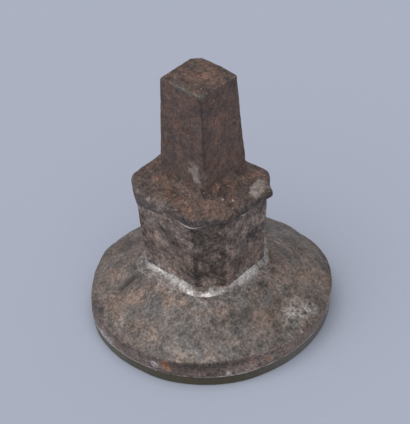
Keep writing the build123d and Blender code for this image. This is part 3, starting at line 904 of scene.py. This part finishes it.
# Bead mesh: a low rounded run from the foot up to the neck
angles = ringAngles(bead["around"])
neckFoot = outline(angles, neck["facings"], neck["foot"], neck["sharpness"])[0]
reaches = along(neck["foot"], neck["head"], bead["neckShare"])
neckUp = outline(angles, neck["facings"], reaches, neck["sharpness"])[0]
spread = neckFoot + roundTrip(angles, bead["width"], passes=20)
slope = (footTop - ridgeZ) / (footReach - land)
spreadZ = footTop - 0.04 - np.clip(spread - land + 0.3, 0, None) * slope
crestZ = beadTop + roundTrip(angles, bead["rise"])
crown = ((spread + neckFoot) / 2, spreadZ + bead["crownShare"] * (crestZ - spreadZ))
rows = [(neckFoot - 0.1, footTop - 0.02), (spread - 0.15, spreadZ - 0.02)]
seenRow = len(rows)
for share in np.linspace(0, 1, bead["rows"]):
    rows.append(bend((spread, spreadZ), crown, (neckUp - bead["tuck"], crestZ), share))
grid = ringGrid(angles, rows)
lumps = ripple(grid, bead["lumps"], 71)
lumps[:seenRow] = 0
grid = pushOut(grid, lumps, looped=True)
level = np.arange(len(rows))[:, None]
across = (level - seenRow) / (bead["rows"] - 1)  # 0 at the foot, 1 at the neck
shineKeys = ("shineAt", "shineWide", "clean")
shineAt, shineWide, clean = (roundTrip(angles, bead[key], passes=10) for key in shineKeys)
# painted highlight: a run of clean bright silver placed where light glances off the bead
clean = clean * spot(across - shineAt + ripple(grid, bead["wander"], 74), shineWide)
clean = clean * (1 + ripple(grid, bead["fleck"], 77))
beadFinish = softSolder("soft_solder_rubbed", bead)
beadMarks = {"dirt": np.clip(1 - clean, 0, 1)}
makePiece("neck_bead", "neck_solder", beadFinish, grid, beadMarks, looped=True)


# Solder film squeezed out between foot and seal plate
film = {
    "around": 680, "bulge": 0.1, "ripples": (0.05, 1.2), "dirtWave": (0.7, 2.4),
    # how much of the seam dirt covers
    "dirty": [
        (-150, 0.5), (-112, 0), (-95, 0.2), (-75, 0.6), (-60, 0.8), (-50, 1), (-44, 0.6),
        (-40, 0.1), (-32, 0.2), (-20, 0.2), (0, 0.1), (20, 0.1), (50, 0.6), (135, 0.7),
    ],
    "cloudSize": 1.4, "grainSize": 0.3,  # frosting of about 0.1 mm, drawn coarser to show
    "silver": "#b2adaa", "dirt": "#675d59",
}
angles = ringAngles(film["around"])
edge = filmReach + roundTrip(angles, foot["rim"])
swell = edge + film["bulge"]
rows = [(edge - 0.3, plateTop), (edge - 0.05, plateTop + 0.01), (swell, plateTop + 0.08),
        (swell, footBottom - 0.08), (edge - 0.05, footBottom - 0.01), (edge - 0.3, footBottom)]
grid = ringGrid(angles, rows)
ripples = ripple(grid, film["ripples"], 81)
ripples[[0, -1]] = 0
grid = keepInside(pushOut(grid, ripples, looped=False), footReach)
dirty = roundTrip(angles, film["dirty"], passes=12) + ripple(grid, film["dirtWave"], 83)
filmFinish = softSolder("soft_solder_seam", film)
filmMarks = {"dirt": np.clip(dirty, 0, 1)}
makePiece("plate_film", "plate_solder", filmFinish, grid, filmMarks)


# Seal plate: brass disc, its face cut with two lines, a ring of pearls and an eight-petal rosette
plate = {
    "around": 640, "faceRows": 118, "wallRows": 9,
    "cutDepth": 0.45, "edgeBreak": 0.2, "lineWidth": 0.5, "lineMargin": 1.7,
    "pearls": 32, "pearlRadius": 0.6, "pearlGap": 0.55,
    "petals": 8, "petalStart": 2.6, "petalMargin": 1.4, "petalHalfWidth": 1.9, "eye": 1.3,
    "wallWave": (0.04, 2.2),
    # painted sheen of floor light on the edge, lightest on the right
    "dust": [
        (-150, 0.3), (-112, 0.55), (-98, 0.5), (-84, 0.15), (-60, 0), (-35, 0), (-20, 0.35),
        (-5, 0.75), (15, 0.9), (35, 0.8), (60, 0.4), (135, 0.2),
    ],
    "cloudSize": 2.4, "grainSize": 0.28,  # tarnish of about 0.1 mm, drawn coarser to show
    "floorSheenGrey": "#7c7874", "oliveFilm": "#4f4b3b", "brownFilm": "#5a5143", "rubbedBrass": "#a58f58",
}
angles = ringAngles(plate["around"])
halfLine, pearlRadius = plate["lineWidth"] / 2, plate["pearlRadius"]
outerLine = plateReach - plate["lineMargin"]
pearlRing = outerLine - halfLine - plate["pearlGap"] - pearlRadius
innerLine = pearlRing - pearlRadius - plate["pearlGap"] - halfLine
petalTip = innerLine - plate["petalMargin"]
petalMiddle = (petalTip + plate["petalStart"]) / 2
petalHalfLength = petalTip - petalMiddle


def cutAt(radius):  # depth of the engraving round a circle, with rounded shoulders
    def repeated(count):  # x and y beside the nearest of this many spokes
        turn = 2 * math.pi / count
        aside = (angles + turn / 2) % turn - turn / 2
        return radius * np.cos(aside), radius * np.sin(aside)

    pearlX, pearlY = repeated(plate["pearls"])
    pearl = np.sqrt(np.clip(pearlRadius ** 2 - np.hypot(pearlX - pearlRing, pearlY) ** 2, 0, None))
    petalX, petalY = repeated(plate["petals"])
    petalGap = np.hypot((petalX - petalMiddle) / petalHalfLength, petalY / plate["petalHalfWidth"])
    petal = np.clip(1.6 * (1 - petalGap), 0, 1)
    eye = np.clip((plate["eye"] + 0.06 - radius) / 0.16, 0, 1)
    toLine = min(abs(radius - outerLine), abs(radius - innerLine))
    line = np.clip((halfLine + 0.06 - toLine) / 0.14, 0, 1)
    return np.maximum(plate["cutDepth"] * np.maximum(petal, max(eye, line)), pearl)


edgeBreak = plate["edgeBreak"]
faceEdge = plateReach - edgeBreak
rows = [(radius, cutAt(radius)) for radius in np.linspace(0.08, faceEdge - 0.7, plate["faceRows"])]
drawnIn = roundTrip(angles, foot["rim"])
rows += [(faceEdge - 0.12 + drawnIn, 0.0), (faceEdge + drawnIn, 0.015)]
rows += [(plateReach - 0.08 + drawnIn, edgeBreak - 0.06)]
wallHeights = np.linspace(edgeBreak, plateTop - 0.05, plate["wallRows"])
rows += [(plateReach + drawnIn, height) for height in wallHeights]
rows += [(plateReach - 0.06 + drawnIn, plateTop)]
grid = ringGrid(angles, rows)
level = np.arange(len(rows))[:, None]
clean = np.clip(1 - grid[..., 2] / 0.2, 0, 1) * (level < plate["faceRows"] + 2)
wall = (level > plate["faceRows"] + 2) * (level < len(rows) - 1)
wear = ripple(grid, plate["wallWave"], 91) - plate["wallWave"][0]
grid = keepInside(pushOut(grid, wear * wall, looped=False), plateReach)
plateMarks = {"clean": clean, "dust": roundTrip(angles, plate["dust"]) * wall}
makePiece("seal_disc", "seal_plate", engravedBrass(plate), grid, plateMarks)


# Stage: pale blue-grey paper, soft sky light and a broad lamp from the upper left
stageLook = {
    "paper": "#a9afbf", "reach": 900.0,
    "fibreSize": 1.2,  # tufts of fibre
    "sky": 0.4, "lamp": 2.15, "lampSpread": 80.0, "lampFrom": (0.08, -0.42, 1.0),
}
paper, put, place = newFinish("matte_paper_backdrop")
fibre = put("TexNoise", {"Vector": place, "Scale": perMetre(stageLook["fibreSize"]), "Detail": 3.0})
tint = toneBy(put, colour(stageLook["paper"]), 1.0, fibre, (0.0, 1.0), (0.985, 1.015))
shader = paper.node_tree.nodes["Principled BSDF"]
paper.node_tree.links.new(tint, shader.inputs["Base Color"])
shader.inputs["Roughness"].default_value = 0.95
shader.inputs["Specular IOR Level"].default_value = 0.0
reach = stageLook["reach"] * mm
mesh = bpy.data.meshes.new("floor")
corners = [(-reach, -reach, 0), (reach, -reach, 0), (reach, reach, 0), (-reach, reach, 0)]
mesh.from_pydata(corners, [], [(0, 1, 2, 3)])
mesh.materials.append(paper)
floor = bpy.data.objects.new("floor", mesh)
bpy.context.scene.collection.objects.link(floor)

world = bpy.data.worlds.new("soft_sky")
bpy.context.scene.world = world
world.use_nodes = True
world.node_tree.nodes["Background"].inputs["Color"].default_value = (1, 1, 1, 1)
world.node_tree.nodes["Background"].inputs["Strength"].default_value = stageLook["sky"]
lampData = bpy.data.lights.new("window_lamp", "SUN")
lampData.energy = stageLook["lamp"]
lampData.angle = math.radians(stageLook["lampSpread"])
lamp = bpy.data.objects.new("window_lamp", lampData)
lamp.rotation_euler = Vector(stageLook["lampFrom"]).to_track_quat("Z", "Y").to_euler()
bpy.context.scene.collection.objects.link(lamp)
print("stage: paper, sky and lamp")


# Camera at the photograph's angle
cameraLook = {
    "turn": 43.82, "rise": 37.79, "roll": -3.16, "distance": 294.04, "aim": (-0.115, -0.111, 18.03),
    "sensor": 36, "focalPixels": 2000, "longSide": 424,  # long side of the picture, in pixels
}
turn, rise, roll = (math.radians(cameraLook[key]) for key in ("turn", "rise", "roll"))
back = Vector((math.sin(turn) * math.cos(rise), -math.cos(turn) * math.cos(rise), math.sin(rise)))
right = Vector((math.cos(turn), math.sin(turn), 0))
up = back.cross(right)
sideways = math.cos(roll) * right + math.sin(roll) * up
upright = math.cos(roll) * up - math.sin(roll) * right
cameraData = bpy.data.cameras.new("photo_camera")
cameraData.sensor_width = cameraLook["sensor"]
cameraData.lens = cameraLook["sensor"] * cameraLook["focalPixels"] / cameraLook["longSide"]
cameraData.clip_start = 0.01
camera = bpy.data.objects.new("photo_camera", cameraData)
standing = (Vector(cameraLook["aim"]) + back * cameraLook["distance"]) * mm
facing = Matrix((sideways, upright, back)).transposed().to_4x4()
camera.matrix_world = Matrix.Translation(standing) @ facing
bpy.context.scene.collection.objects.link(camera)
bpy.context.scene.camera = camera
bpy.context.scene.view_settings.view_transform = "Standard"
print("camera: lens", round(cameraData.lens, 1), "mm")
